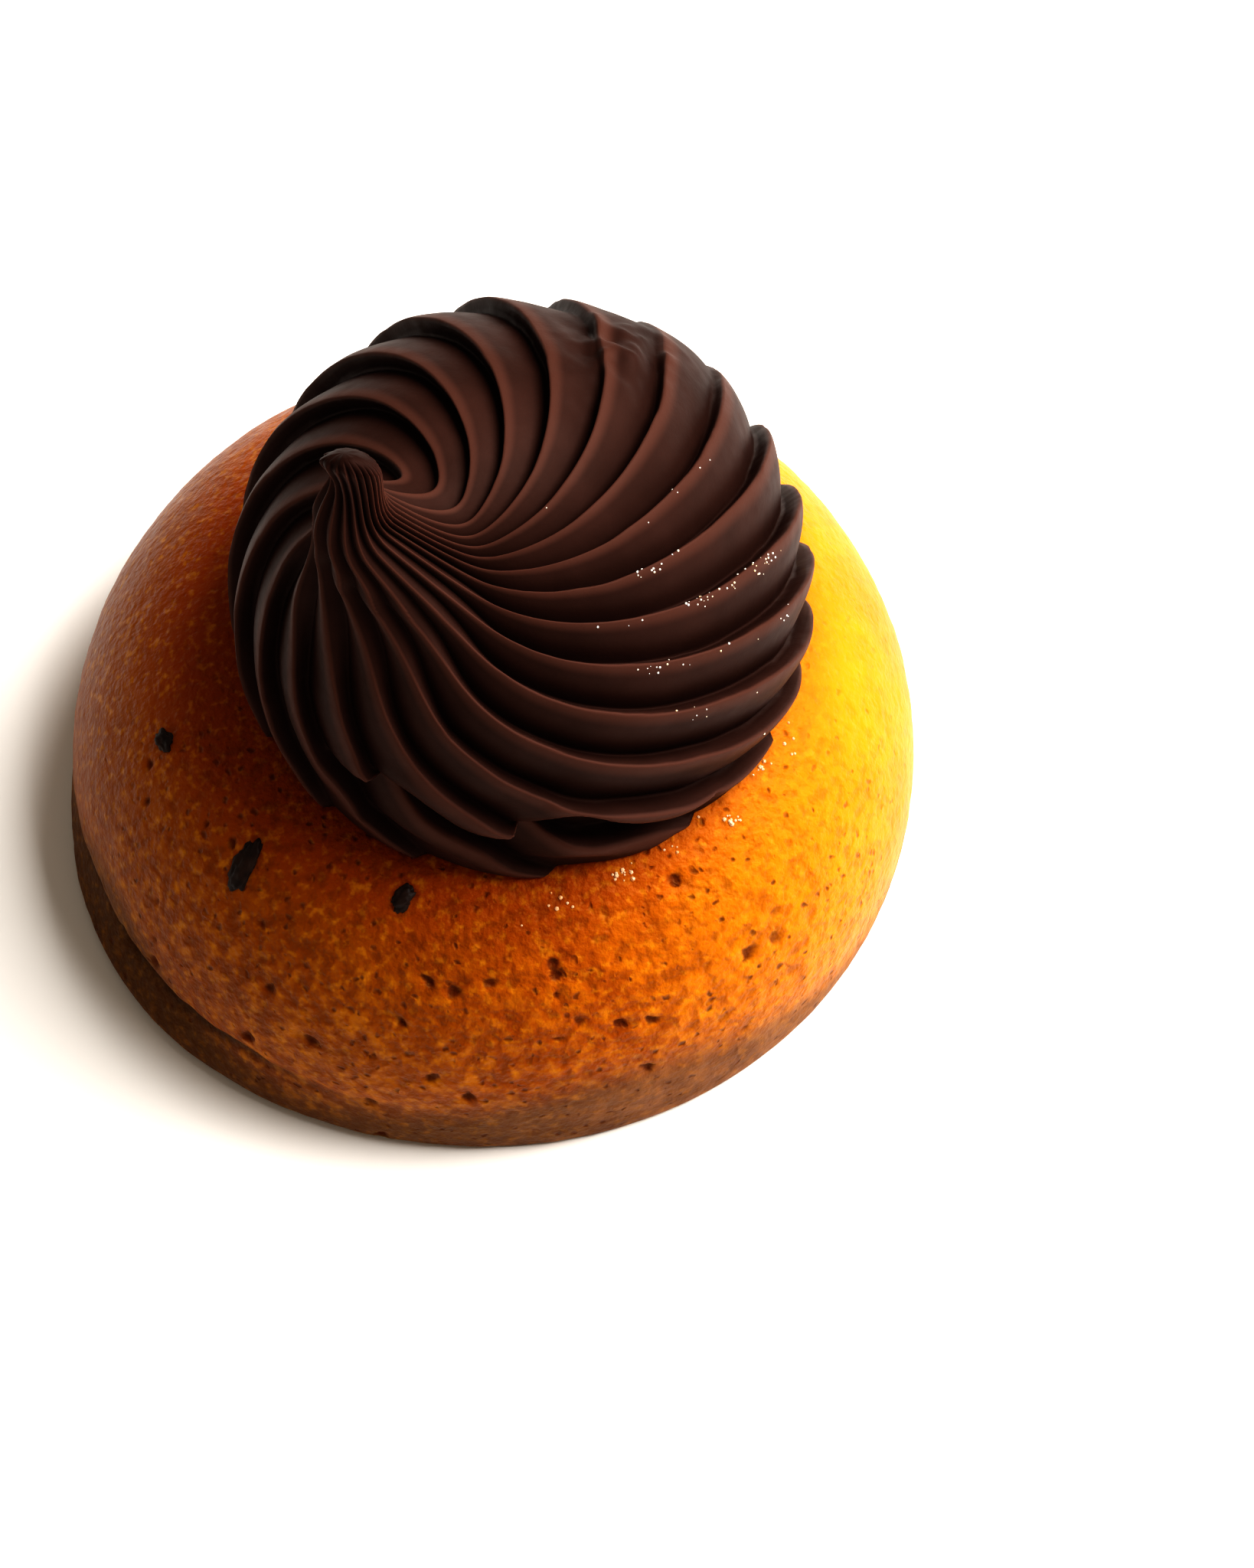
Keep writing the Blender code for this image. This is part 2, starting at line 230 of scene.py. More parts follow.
# Sugar: at most so many grains to the square metre, in a patch on the crests and in an arc on the crust
SUGAR_DENSITY = 9.0e6
SWIRL_GRAIN = 0.085 * MM
SWIRL_SUGAR_CENTRE = Vector((17.5, -11.5, 43.0)) * MM
SWIRL_SUGAR_SPREAD = 6.5 * MM
CRUST_GRAIN = 0.17 * MM
CRUST_SUGAR_RADIUS = 25.4 * MM
CRUST_SUGAR_SPREAD = 1.1 * MM
CRUST_SUGAR_SPAN = (10.0 * MM, 15.0 * MM)
CRUST_SUGAR_AZIMUTH = math.radians(-50.0)
CRUST_SUGAR_ARC = math.radians(26.0)
GRAIN_SPIN = 3.1
GRAIN_SIZES = (0.45, 1.3)

# Mesh density
COLUMNS_A_RIDGE = 24
MOUND_ROWS = 206
SHOWN_ROWS = 0.92
ROW_CROWDING = 1.25
CRUST_COLUMNS = 620
CRUST_ROWS = 156

# Colours of the ganache, in linear red, green and blue
GANACHE_PLAIN = (0.030, 0.0135, 0.0095)
GANACHE_DARK = (0.0235, 0.0096, 0.0071)
GANACHE_LIGHT = (0.036, 0.0147, 0.0110)
# Painted shade in the valleys, and a painted highlight on the crests
GANACHE_VALLEY_SHADE = (0.010, 0.0036, 0.0026)
GANACHE_CREST_HIGHLIGHT = (0.084, 0.033, 0.023)
GANACHE_SHEEN = (1.0, 0.62, 0.52, 1.0)

# Colours of the crust
CRUST_PLAIN = (0.72, 0.33, 0.055)
# Painted light and shade on the dome: yellow on the lit right, orange on the shaded front and left
LIT_YELLOW = (0.70, 0.255, 0.003)
LIT_DEEP_YELLOW = (0.60, 0.185, 0.002)
SHADED_ORANGE = (0.41, 0.098, 0.001)
SHADED_DEEP_ORANGE = (0.27, 0.050, 0.001)
LEFT_SHADED_ORANGE = (0.22, 0.050, 0.001)
BROWNED = (0.30, 0.040, 0.001)
FOOT_BROWN = (0.20, 0.084, 0.034)
FOOT_DEEP_BROWN = (0.11, 0.040, 0.013)
# Painted shade on the foot at the left, and on the brown lip there
FOOT_LEFT_SHADE = (0.05, 0.018, 0.004)
SHADED_LIP_BROWN = (0.07, 0.024, 0.006)
# Painted highlights: pale glints all over, and lit crumbs high on the front
CRUMB_GLINT = (0.66, 0.27, 0.012)
CRUMB_HIGHLIGHT = (0.70, 0.26, 0.006)
# Painted shade in the pores, the pits and the seam
PORE_SHADE = (0.075, 0.011, 0.001)
PIT_SHADE = (0.10, 0.016, 0.003)
SEAM_SHADE = (0.035, 0.010, 0.004)
CRUST_SHEEN = (1.0, 0.65, 0.20, 1.0)

# Colours of the toppings and of the floor
FLECK_PLAIN = (0.018, 0.010, 0.008)
FLECK_DARK = (0.012, 0.007, 0.006)
FLECK_LIGHT = (0.030, 0.015, 0.011)
SUGAR_WHITE = (0.95, 0.92, 0.86)
SUGAR_AMBER = (0.85, 0.62, 0.38)
SUGAR_PEACH = (0.80, 0.52, 0.32)
SUGAR_TOASTED = (0.62, 0.28, 0.10)
FLOOR_WHITE = (0.92, 0.91, 0.89)

# The photograph's view
CAMERA_HEIGHT_ANGLE = math.radians(60.0)
CAMERA_DISTANCE = 420.0 * MM
CAMERA_TARGET = Vector((11.0, -8.0, 12.0)) * MM
CAMERA_ROLL = math.radians(-2.0)
CAMERA_LENS = 118.3
SENSOR_WIDTH = 36.0

# Light: a large window at the right, azimuth counted from +X towards +Y, and a dim warm room
WINDOW_AZIMUTH = math.radians(12.0)
WINDOW_ELEVATION = math.radians(49.0)
WINDOW_DISTANCE = 0.9
WINDOW_AIM = Vector((0.0, 0.0, 25.0 * MM))
WINDOW_SIZE = 0.70
WINDOW_POWER = 19.0
WINDOW_COLOUR = (1.0, 0.97, 0.93)
ROOM_COLOUR = (1.0, 0.84, 0.67, 1.0)
ROOM_STRENGTH = 0.24

# Floor
FLOOR_HALF = 3.0
FLOOR_DROP = 0.02 * MM


class Field:
    """A number or a vector at every point of a piece. Sums on fields add math nodes to their tree."""

    def __init__(self, tree, socket):
        self.tree = tree
        self.socket = socket
        self.is_vector = socket.type == "VECTOR"

    def calc(self, operation, *others):
        node = put(self.tree, "ShaderNodeMath", (self, *others), operation=operation)
        return Field(self.tree, node.outputs[0])

    def __add__(self, other):
        return combined(self, "ADD", other)

    def __radd__(self, other):
        return combined(self, "ADD", other)

    def __sub__(self, other):
        return combined(self, "SUBTRACT", other)

    def __rsub__(self, other):
        return combined(self * -1.0, "ADD", other)

    def __mul__(self, other):
        return combined(self, "MULTIPLY", other)

    def __rmul__(self, other):
        return combined(self, "MULTIPLY", other)

    def __truediv__(self, other):
        return self.calc("DIVIDE", other)

    def __pow__(self, power):
        return self.calc("POWER", power)

    def length(self):
        node = put(self.tree, "ShaderNodeVectorMath", (self,), operation="LENGTH")
        return Field(self.tree, node.outputs["Value"])

    def parts(self):
        split = put(self.tree, "ShaderNodeSeparateXYZ", (self,))
        return [Field(self.tree, socket) for socket in split.outputs]


def put(tree, kind, values=(), **settings):
    """A new node with its settings, and its inputs set or linked by number or by name."""
    made = tree.nodes.new(kind)
    for key, value in settings.items():
        setattr(made, key, value)
    for key, value in values.items() if isinstance(values, dict) else enumerate(values):
        if isinstance(value, Field):
            tree.links.new(value.socket, made.inputs[key])
        elif isinstance(value, bpy.types.NodeSocket):
            tree.links.new(value, made.inputs[key])
        else:
            made.inputs[key].default_value = value
    return made


def combined(field, operation, other):
    """A sum or a product of two fields, or of a field and a constant, either of them a vector or a number."""
    tree = field.tree
    other_is_vector = other.is_vector if isinstance(other, Field) else isinstance(other, Vector)
    if not field.is_vector and not other_is_vector:
        return field.calc(operation, other)
    values = (field, other)
    if operation == "MULTIPLY" and field.is_vector != other_is_vector:
        operation = "SCALE"
        values = {"Vector": field, "Scale": other} if field.is_vector else {"Vector": other, "Scale": field}
    node = put(tree, "ShaderNodeVectorMath", values, operation=operation)
    return Field(tree, node.outputs["Vector"])


def constant(tree, value):
    """A number as a field."""
    made = tree.nodes.new("ShaderNodeValue")
    made.outputs[0].default_value = value
    return Field(tree, made.outputs[0])


def vector(x, y, z):
    """Three numbers, of which one at least is a field, as a vector."""
    tree = next(part.tree for part in (x, y, z) if isinstance(part, Field))
    return Field(tree, put(tree, "ShaderNodeCombineXYZ", (x, y, z)).outputs[0])


def sin(field):
    return field.calc("SINE")


def cos(field):
    return field.calc("COSINE")


def root(field):
    return field.calc("SQRT")


def clamped(field):
    """The field, kept from 0 to 1."""
    return field.calc("MAXIMUM", 0.0).calc("MINIMUM", 1.0)


def wrapped(angle):
    """An angle brought to the half turn on either side of 0."""
    return angle.calc("WRAP", math.pi, -math.pi)


def bell(field):
    """1 where the field is 0, and close to 0 past 2 on either side."""
    return (field * field * -1.0).calc("EXPONENT")


def step(low, high, field):
    """0 on the low side, 1 on the high side, and an even S between them. Low may be the greater number."""
    values = {"Value": field, "From Min": low, "From Max": high, "To Min": 0.0, "To Max": 1.0}
    ramp = put(field.tree, "ShaderNodeMapRange", values, interpolation_type="SMOOTHSTEP")
    return Field(field.tree, ramp.outputs["Result"])


def cloud(place, scale, detail=2.0, seed=0.0):
    """Noise from -1 to 1."""
    shifted = place + Vector((seed, 0.37 * seed, -0.61 * seed))
    made = put(place.tree, "ShaderNodeTexNoise", {"Vector": shifted, "Scale": scale, "Detail": detail})
    return (Field(place.tree, made.outputs[0]) - 0.5) * 2.0


def jogged(place, scale, detail, seeds, distance):
    """Places moved about a little, so that what is scattered by them has uneven edges."""
    jogs = [cloud(place, scale, detail, seed) for seed in seeds]
    return place + vector(*jogs) * distance


def cells(place, scale):
    """How far a place is from the middle of its own cell, and a number drawn for each cell."""
    made = put(place.tree, "ShaderNodeTexVoronoi", {"Vector": place, "Scale": scale})
    split = put(place.tree, "ShaderNodeSeparateXYZ", {0: made.outputs["Color"]})
    return Field(place.tree, made.outputs["Distance"]), Field(place.tree, split.outputs[0])


class Recipe:
    """A Geometry Nodes tree with named sizes as its inputs."""

    def __init__(self, name, sizes):
        self.tree = bpy.data.node_groups.new(name, "GeometryNodeTree")
        self.sizes = sizes
        self.keys = {}
        face = self.tree.interface
        face.new_socket("Geometry", in_out="INPUT", socket_type="NodeSocketGeometry")
        face.new_socket("Geometry", in_out="OUTPUT", socket_type="NodeSocketGeometry")
        for label, value in sizes.items():
            kind = "NodeSocketInt" if isinstance(value, int) else "NodeSocketFloat"
            self.keys[label] = face.new_socket(label, in_out="INPUT", socket_type=kind).identifier
        self.entry = self.tree.nodes.new("NodeGroupInput")

    def size(self, label):
        return Field(self.tree, self.entry.outputs[label])

    def node(self, kind, values=(), **settings):
        return put(self.tree, kind, values, **settings)

    def place(self):
        return Field(self.tree, self.node("GeometryNodeInputPosition").outputs[0])

    def normal(self):
        return Field(self.tree, self.node("GeometryNodeInputNormal").outputs[0])

    def ball(self):
        """A ball of radius 1 with the recipe's own columns and rows."""
        values = {"Segments": self.size("Columns"), "Rings": self.size("Rows"), "Radius": 1.0}
        return self.node("GeometryNodeMeshUVSphere", values).outputs["Mesh"]

    def moved(self, geometry, **values):
        """The geometry with its points at a Position, or moved by an Offset."""
        return self.node("GeometryNodeSetPosition", {"Geometry": geometry, **values}).outputs[0]

    def keep(self, geometry, label, value):
        """Stores a number at every point, for the material or another recipe to read."""
        values = {"Geometry": geometry, "Name": label, "Value": value}
        stored = self.node("GeometryNodeStoreNamedAttribute", values, data_type="FLOAT")
        return stored.outputs["Geometry"]

    def kept(self, label):
        """A number that another recipe stored at every point."""
        read = self.node("GeometryNodeInputNamedAttribute", {"Name": label}, data_type="FLOAT")
        return Field(self.tree, read.outputs[0])

    def end(self, geometry, material):
        realized = self.node("GeometryNodeRealizeInstances", {"Geometry": geometry})
        values = {"Geometry": realized.outputs[0], "Material": material}
        dressed = self.node("GeometryNodeSetMaterial", values)
        self.node("NodeGroupOutput", {"Geometry": dressed.outputs[0]})

    def make(self, name, smooth=True):
        """A plain mesh object of what the tree makes."""
        grown = bpy.data.objects.new(name + " start", bpy.data.meshes.new(name + " start"))
        bpy.context.scene.collection.objects.link(grown)
        modifier = grown.modifiers.new("Grow", "NODES")
        modifier.node_group = self.tree
        for label, key in self.keys.items():
            modifier[key] = self.sizes[label]
        bpy.context.view_layer.update()
        evaluated = grown.evaluated_get(bpy.context.evaluated_depsgraph_get())
        result = bpy.data.meshes.new_from_object(evaluated)
        bpy.data.objects.remove(grown)
        result.name = name
        if smooth:
            result.shade_smooth()
        made = bpy.data.objects.new(name, result)
        bpy.context.scene.collection.objects.link(made)
        return made


class Paint:
    """A material's node tree, with its Principled shader."""

    def __init__(self, name, colour, roughness):
        self.material = bpy.data.materials.new(name)
        self.material.use_nodes = True
        self.material.diffuse_color = (*colour, 1.0)
        self.tree = self.material.node_tree
        self.shader = self.tree.nodes["Principled BSDF"]
        self.shader.inputs["Base Color"].default_value = (*colour, 1.0)
        self.shader.inputs["Roughness"].default_value = roughness

    def place(self):
        return Field(self.tree, put(self.tree, "ShaderNodeTexCoord").outputs["Object"])

    def kept(self, label):
        """A number that the piece's recipe stored at every point."""
        read = put(self.tree, "ShaderNodeAttribute", attribute_name=label)
        return Field(self.tree, read.outputs["Fac"])

    def mix(self, share, first, second):
        """One colour turning into another."""
        made = put(self.tree, "ShaderNodeMix", data_type="RGBA")
        for index, value in ((0, share), (6, first), (7, second)):
            if isinstance(value, Field):
                self.tree.links.new(value.socket, made.inputs[index])
            else:
                made.inputs[index].default_value = (*value, 1.0)
        return Field(self.tree, made.outputs[2])

    def link(self, field, label):
        self.tree.links.new(field.socket, self.shader.inputs[label])

    def soften(self, weight, radii):
        """Lets light into the surface, as far as the radii for red, green and blue."""
        self.shader.inputs["Subsurface Weight"].default_value = weight
        self.shader.inputs["Subsurface Radius"].default_value = radii
        self.shader.inputs["Subsurface Scale"].default_value = 1.0

    def bump(self, height, strength, distance):
        values = {"Height": height, "Strength": strength, "Distance": distance}
        made = put(self.tree, "ShaderNodeBump", values)
        self.tree.links.new(made.outputs["Normal"], self.shader.inputs["Normal"])


def ganache_paint():
    """Dark chocolate: satin, with painted shade in the valleys, a redder painted highlight on the crests, and
    a fine grain.
    """
    paint = Paint("Dark ganache", GANACHE_PLAIN, 0.36)
    place = paint.place()
    furrow = paint.kept("furrow")
    blotch = cloud(place, 160.0, 3.0)
    body = paint.mix(step(-0.6, 0.7, blotch), GANACHE_DARK, GANACHE_LIGHT)
    # Painted shade in the valleys.
    body = paint.mix(step(0.25, 0.9, furrow) * 0.6, body, GANACHE_VALLEY_SHADE)
    # Painted highlight on the crests.
    crest = step(0.20, 0.0, furrow)
    paint.link(paint.mix(crest * 0.65, body, GANACHE_CREST_HIGHLIGHT), "Base Color")
    paint.link(0.50 + 0.07 * cloud(place, 900.0, 2.0), "Roughness")
    paint.shader.inputs["Specular IOR Level"].default_value = 0.05
    paint.shader.inputs["Specular Tint"].default_value = GANACHE_SHEEN
    paint.soften(0.04, (0.9 * MM, 0.4 * MM, 0.3 * MM))
    grain = cloud(place, 2600.0, 3.0) + 0.6 * cloud(place, 700.0, 2.0)
    paint.bump(grain, 0.25, 0.03 * MM)
    return paint.material


def baked_colour(paint, radius, side, blotch, mottle):
    """The dome's colour: painted light makes it yellow on the right, painted shade orange on the left; redder
    round the ganache.
    """
    yellow = paint.mix(step(-0.5, 0.5, blotch + 0.3 * mottle), LIT_YELLOW, LIT_DEEP_YELLOW)
    orange = paint.mix(step(-0.45, 0.45, 0.6 * blotch + 0.7 * mottle), SHADED_ORANGE, SHADED_DEEP_ORANGE)
    orange = paint.mix(step(-0.1, -0.75, side) * 0.75, orange, LEFT_SHADED_ORANGE)
    golden = paint.mix(step(-0.1, 0.95, side + 0.15 * blotch), orange, yellow)
    browning = step(*BROWNING_SPAN, radius + BROWNING_WANDER * blotch)
    return paint.mix(browning * 0.7, golden, BROWNED)


def foot_share(azimuth, z, blotch, mottle):
    """How much of the brown foot a place has."""
    off_front = azimuth - FOOT_FRONT_AZIMUTH
    off_lip = wrapped(azimuth - FOOT_LIP_AZIMUTH)
    edge = FOOT_HEIGHT + FOOT_FRONT * bell(off_front / FOOT_FRONT_SPREAD)
    edge = edge + FOOT_LIP * bell(off_lip / FOOT_LIP_SPREAD)
    return step(*FOOT_FADE, z - edge + FOOT_WANDER * blotch + FOOT_FINE_WANDER * mottle)


def foot_colour(paint, golden, foot, azimuth, z, side, mottle):
    """The dome's colour turning brown at the foot, with painted shade on the left and more painted shade on
    the brown lip.
    """
    brown = paint.mix(step(-0.4, 0.5, mottle), FOOT_BROWN, FOOT_DEEP_BROWN)
    golden = paint.mix(foot * 0.9, golden, brown)
    # Painted shade on the foot at the left.
    golden = paint.mix(foot * step(0.2, -0.6, side) * 0.45, golden, FOOT_LEFT_SHADE)
    off_lip = wrapped(azimuth - FOOT_LIP_AZIMUTH)
    # Painted shade on the lip, low on the left.
    low = bell(off_lip / LIP_SHADE_SPREAD) * step(*LIP_SHADE_SPAN, z)
    return paint.mix(low * 0.85, golden, SHADED_LIP_BROWN)


def pricks(place):
    """Small holes, each of its own width, dark with painted shade."""
    distance, width = cells(jogged(place, 1100.0, 1.0, (1.0, 4.0, 7.0), PRICK_SHIFT), PRICK_SCALE)
    return step(0.30, 0.05, distance / (0.35 + width)) * step(0.25, 0.55, width)


def crust_paint():
    """Baked crust: the dome's and the foot's colours, with painted light on crumbs and painted shade in
    pores, pits and the seam.
    """
    paint = Paint("Golden crust", CRUST_PLAIN, 0.5)
    place = paint.place()
    x, y, z = place.parts()
    radius = root(x * x + y * y)
    # side grows towards the window at the right; the painted light and shade follow it.
    azimuth = y.calc("ARCTAN2", x)
    side = (x + 0.35 * y) / radius
    blotch = cloud(place, 70.0, 4.0)
    mottle = cloud(place, 330.0, 3.0, 4.0)
    fine = cloud(place, 900.0, 3.0)
    golden = baked_colour(paint, radius, side, blotch, mottle)
    foot = foot_share(azimuth, z, blotch, mottle)
    golden = foot_colour(paint, golden, foot, azimuth, z, side, mottle)

    front = step(0.0, 0.7, y * -1.0 / radius)
    crumbly = front * step(*CRUMBLY_SPAN, z)
    speck = cloud(place, 850.0, 2.0, 3.0) + 0.1 * blotch
    # Painted glints, fewer on the foot.
    glints = step(0.0, 0.55, cloud(place, 1250.0, 2.0, 8.0)) * (1.0 - 0.6 * foot)
    golden = paint.mix(glints * 0.40, golden, CRUMB_GLINT)
    # Painted highlights on crumbs high on the front.
    lit_crumbs = step(0.06, -0.45, speck) * crumbly * (1.0 - 0.75 * foot)
    golden = paint.mix(lit_crumbs * 0.34, golden, CRUMB_HIGHLIGHT)
    # Painted shade in the pores and pricks.
    pore = step(-0.12, 0.50, speck) * (1.0 - 0.5 * foot)
    pores = (pore * 0.40).calc("MAXIMUM", pricks(place) * 0.8) * (0.30 + 0.70 * front)
    golden = paint.mix(pores, golden, PORE_SHADE)
    # Painted shade in the pits and along the seam.
    golden = paint.mix(step(0.05, 0.7, paint.kept("pit")) * 0.9, golden, PIT_SHADE)
    golden = paint.mix(step(0.1, 0.8, paint.kept("seam")) * 0.9, golden, SEAM_SHADE)

    paint.link(golden, "Base Color")
    paint.link(0.42 + 0.10 * fine + 0.2 * foot, "Roughness")
    paint.shader.inputs["Specular IOR Level"].default_value = 0.16
    paint.shader.inputs["Specular Tint"].default_value = CRUST_SHEEN
    paint.soften(0.35, (2.6 * MM, 1.3 * MM, 0.3 * MM))
    crumb = 0.6 * cloud(place, 1500.0, 4.0) + 0.5 * cloud(place, 520.0, 3.0) - 1.1 * pores
    paint.bump(crumb, 0.8, 0.25 * MM)
    return paint.material


def fleck_paint():
    """Chocolate flecks."""
    paint = Paint("Chocolate fleck", FLECK_PLAIN, 0.45)
    blotch = cloud(paint.place(), 900.0, 3.0)
    paint.link(paint.mix(step(-0.5, 0.6, blotch), FLECK_DARK, FLECK_LIGHT), "Base Color")
    paint.shader.inputs["Specular IOR Level"].default_value = 0.12
    paint.bump(blotch, 0.4, 0.1 * MM)
    return paint.material


def sugar_paint(name, light, dark):
    """Grains of sugar, from one tone to another."""
    paint = Paint(name, light, 0.12)
    tone = step(-0.3, 0.4, cloud(paint.place(), 800.0, 1.0, 2.0))
    paint.link(paint.mix(tone, light, dark), "Base Color")
    paint.soften(0.5, (0.3 * MM, 0.25 * MM, 0.2 * MM))
    return paint.material


def crust_height(radius):
    """The height of the dome at a distance from the middle, for a number or a field."""
    across = (radius - CREST_RADIUS) / (CAKE_RADIUS - CREST_RADIUS)
    if isinstance(radius, Field):
        across = clamped(across)
        return WIDEST_HEIGHT + (CAKE_HEIGHT - WIDEST_HEIGHT) * root(1.0 - across * across)
    across = min(max(across, 0.0), 1.0)
    return WIDEST_HEIGHT + (CAKE_HEIGHT - WIDEST_HEIGHT) * math.sqrt(1.0 - across * across)


def turned_outline(ball_place):
    """Where a place on the ball goes on the sponge's turned outline."""
    x, y, z = ball_place.parts()
    along = z.calc("ARCCOSINE") / math.pi
    azimuth = y.calc("ARCTAN2", x)
    top = step(0.0, DOME_START, along)
    dome = clamped((along - DOME_START) / (FOOT_START - DOME_START)) * (0.5 * math.pi)
    foot = clamped((along - FOOT_START) / (UNDER_START - FOOT_START)) * (0.5 * math.pi)
    under = clamped((along - UNDER_START) / (1.0 - UNDER_START))
    radius = CREST_RADIUS * top + (CAKE_RADIUS - CREST_RADIUS) * sin(dome)
    radius = (radius - (CAKE_RADIUS - BASE_RADIUS) * (1.0 - cos(foot))) * (1.0 - under)
    height = WIDEST_HEIGHT + (CAKE_HEIGHT - WIDEST_HEIGHT) * cos(dome) - WIDEST_HEIGHT * sin(foot)
    return vector(radius * cos(azimuth), radius * sin(azimuth), height)


def make_crust():
    """The sponge, wrapped from a ball onto the turned outline, with relief, a lip, a seam and pits."""
    sizes = {"Columns": CRUST_COLUMNS, "Rows": CRUST_ROWS, "Relief": RELIEF, "Pit depth": PIT_DEPTH}
    recipe = Recipe("Crust", sizes)
    turned = recipe.moved(recipe.ball(), Position=turned_outline(recipe.place()))

    place = recipe.place()
    x, y, z = place.parts()
    azimuth = y.calc("ARCTAN2", x)
    radius = root(x * x + y * y)
    outwards = vector(cos(azimuth), sin(azimuth), 0.0)
    by_side = bell(wrapped(azimuth - LIP_AZIMUTH) / LIP_SPREAD)
    lip = LIP * by_side * step(*LIP_SPAN, z)
    off_seam = z - SEAM_HEIGHT + SEAM_WANDER * cloud(place, 120.0, 2.0, 3.0)
    seam = by_side * bell(off_seam / SEAM_SPREAD)
    shown = step(*RELIEF_SPAN, radius)
    off_base = step(*OFF_BASE, z)
    crumb = 0.6 * cloud(place, 210.0, 3.0) + 0.4 * cloud(place, 620.0, 3.0, 5.0)
    lift = recipe.size("Relief") * crumb * shown * off_base + (lip - SEAM_DEPTH * seam) * off_base
    lifted = recipe.moved(turned, Offset=outwards * lift)

    distance, chance = cells(jogged(place, 500.0, 2.0, (1.0, 5.0, 9.0), PIT_SHIFT), PIT_SCALE)
    front = step(-0.1, 0.7, y * -1.0 / radius) * step(*PIT_SPAN, z)
    pitted = step(*PIT_RARITY, chance + 0.16 * front) * step(0.85, 0.5, x / radius)
    pit = step(*PIT_EDGE, distance) * pitted * shown * off_base
    marked = recipe.keep(lifted, "pit", pit)
    marked = recipe.keep(marked, "seam", seam)
    inwards = recipe.normal() * (recipe.size("Pit depth") * pit * -1.0)
    recipe.end(recipe.moved(marked, Offset=inwards), crust_paint())
    return recipe.make("crust")


def swirl_turn(start, from_axis):
    """The angle round the leaning axis of a ridge that starts at an angle, at an angle from the axis."""
    spread = from_axis / TWIST_REACH
    uneven = 1.0 + UNEVEN_TWIST * sin(start + UNEVEN_TWIST_TURN)
    twist = (TWIST * spread - TWIST_FADE * spread * spread) * uneven
    return start - CROWDING * sin(start + CROWDING_TURN) + twist - LEAN_AZIMUTH


def mound_direction(from_axis, turn):
    """The way out of the mound's centre, and its share across the axis."""
    sideways = cos(turn) * DOWN + sin(turn) * ACROSS
    return cos(from_axis) * AXIS + sin(from_axis) * sideways, sideways


def seat_angle(start):
    """How far from the axis the mound meets the crust, by a few rounds of a closed rule."""
    angle = constant(start.tree, SEAT_GUESS)
    low = constant(start.tree, math.cos(SEAT_GUESS))
    for _ in range(SEAT_ROUNDS):
        turn = swirl_turn(start, angle)
        slant = cos(turn) * -math.sin(LEAN)
        reach = root(slant * slant + math.cos(LEAN) ** 2)
        angle = slant.calc("ARCTAN2", math.cos(LEAN)) + (low / reach).calc("ARCCOSINE")
        out, _ = mound_direction(angle, turn)
        x, y, _ = (MOUND_RADIUS * out + MOUND_CENTRE).parts()
        low = (crust_height(root(x * x + y * y)) + (GAP - MOUND_CENTRE.z)) / MOUND_RADIUS
    return angle


def furrow_shape(ridge):
    """0 on a crest, 1 in a valley: a long flank falls to the valley, and a short wall climbs out of it."""
    part = ridge.calc("FRACT")
    flank = (part / VALLEY) ** FLANK_CURVE
    wall = (1.0 - part) / (1.0 - VALLEY)
    depth = flank.calc("SMOOTH_MIN", wall, VALLEY_ROUNDING)
    return (root(depth * depth + CREST_ROUNDING**2) - CREST_ROUNDING).calc("MAXIMUM", 0.0)


def tip_reach(turn):
    """How far from the axis the neck runs out onto the mound, further on one side than on the other."""
    return TIP_SPREAD + TIP_SKEW * cos(turn - TIP_SKEW_TURN)


def tip_pull(from_axis, reach):
    """How much of the pull up into the neck a place gets: nearly all at its end, and none past its reach."""
    pull = ((1.0 - from_axis / reach) / TIP_EASE).calc("EXPONENT") + 1.0
    return (pull.calc("LOGARITHM", math.e) * TIP_EASE).calc("SMOOTH_MIN", TIP_LIMIT, TIP_LIMIT_EASE)


def turned_over(sideways, pull):
    """The way across the axis, turned over at the end of the neck."""
    _, y, z = sideways.parts()
    rise = y * SLOPE_RISE.y + z * SLOPE_RISE.z
    change = SLOPE_RISE * (math.cos(TILT) - 1.0) - SLOPE_FACE * math.sin(TILT)
    return sideways + rise * step(*TILT_SPAN, pull) * change


def tip_widening(from_axis, turn, at_knuckle):
    """How much wider than the round mound the neck is, so that its end is blunt."""
    across = MOUND_RADIUS * sin(from_axis)
    stem = TIP_RADIUS * root((from_axis / TIP_CAP).calc("MINIMUM", 1.0))
    knuckle = KNUCKLE * bell((from_axis - KNUCKLE_PLACE) / KNUCKLE_SPREAD) * at_knuckle
    curl = bell(wrapped(turn - CURL_TURN) / CURL_WIDTH) * bell((from_axis - CURL_PLACE) / CURL_SPREAD)
    return stem.calc("SMOOTH_MAX", across, TIP_BLEND) - across + (knuckle + CURL * curl)


def merged_ridges(from_axis, turn):
    """Where two ridges run together, and how much shallower the ridges are there and in the smear."""
    off_merged = wrapped(turn - MERGED_TURN)
    merged = bell((from_axis - MERGED_AXIS) / MERGED_SPREAD) * bell(off_merged / MERGED_WIDTH)
    smear = step(*SMEAR_SPAN, from_axis) * bell(off_merged / SMEAR_WIDTH)
    return merged, MERGED_SHARE * merged.calc("MAXIMUM", smear)


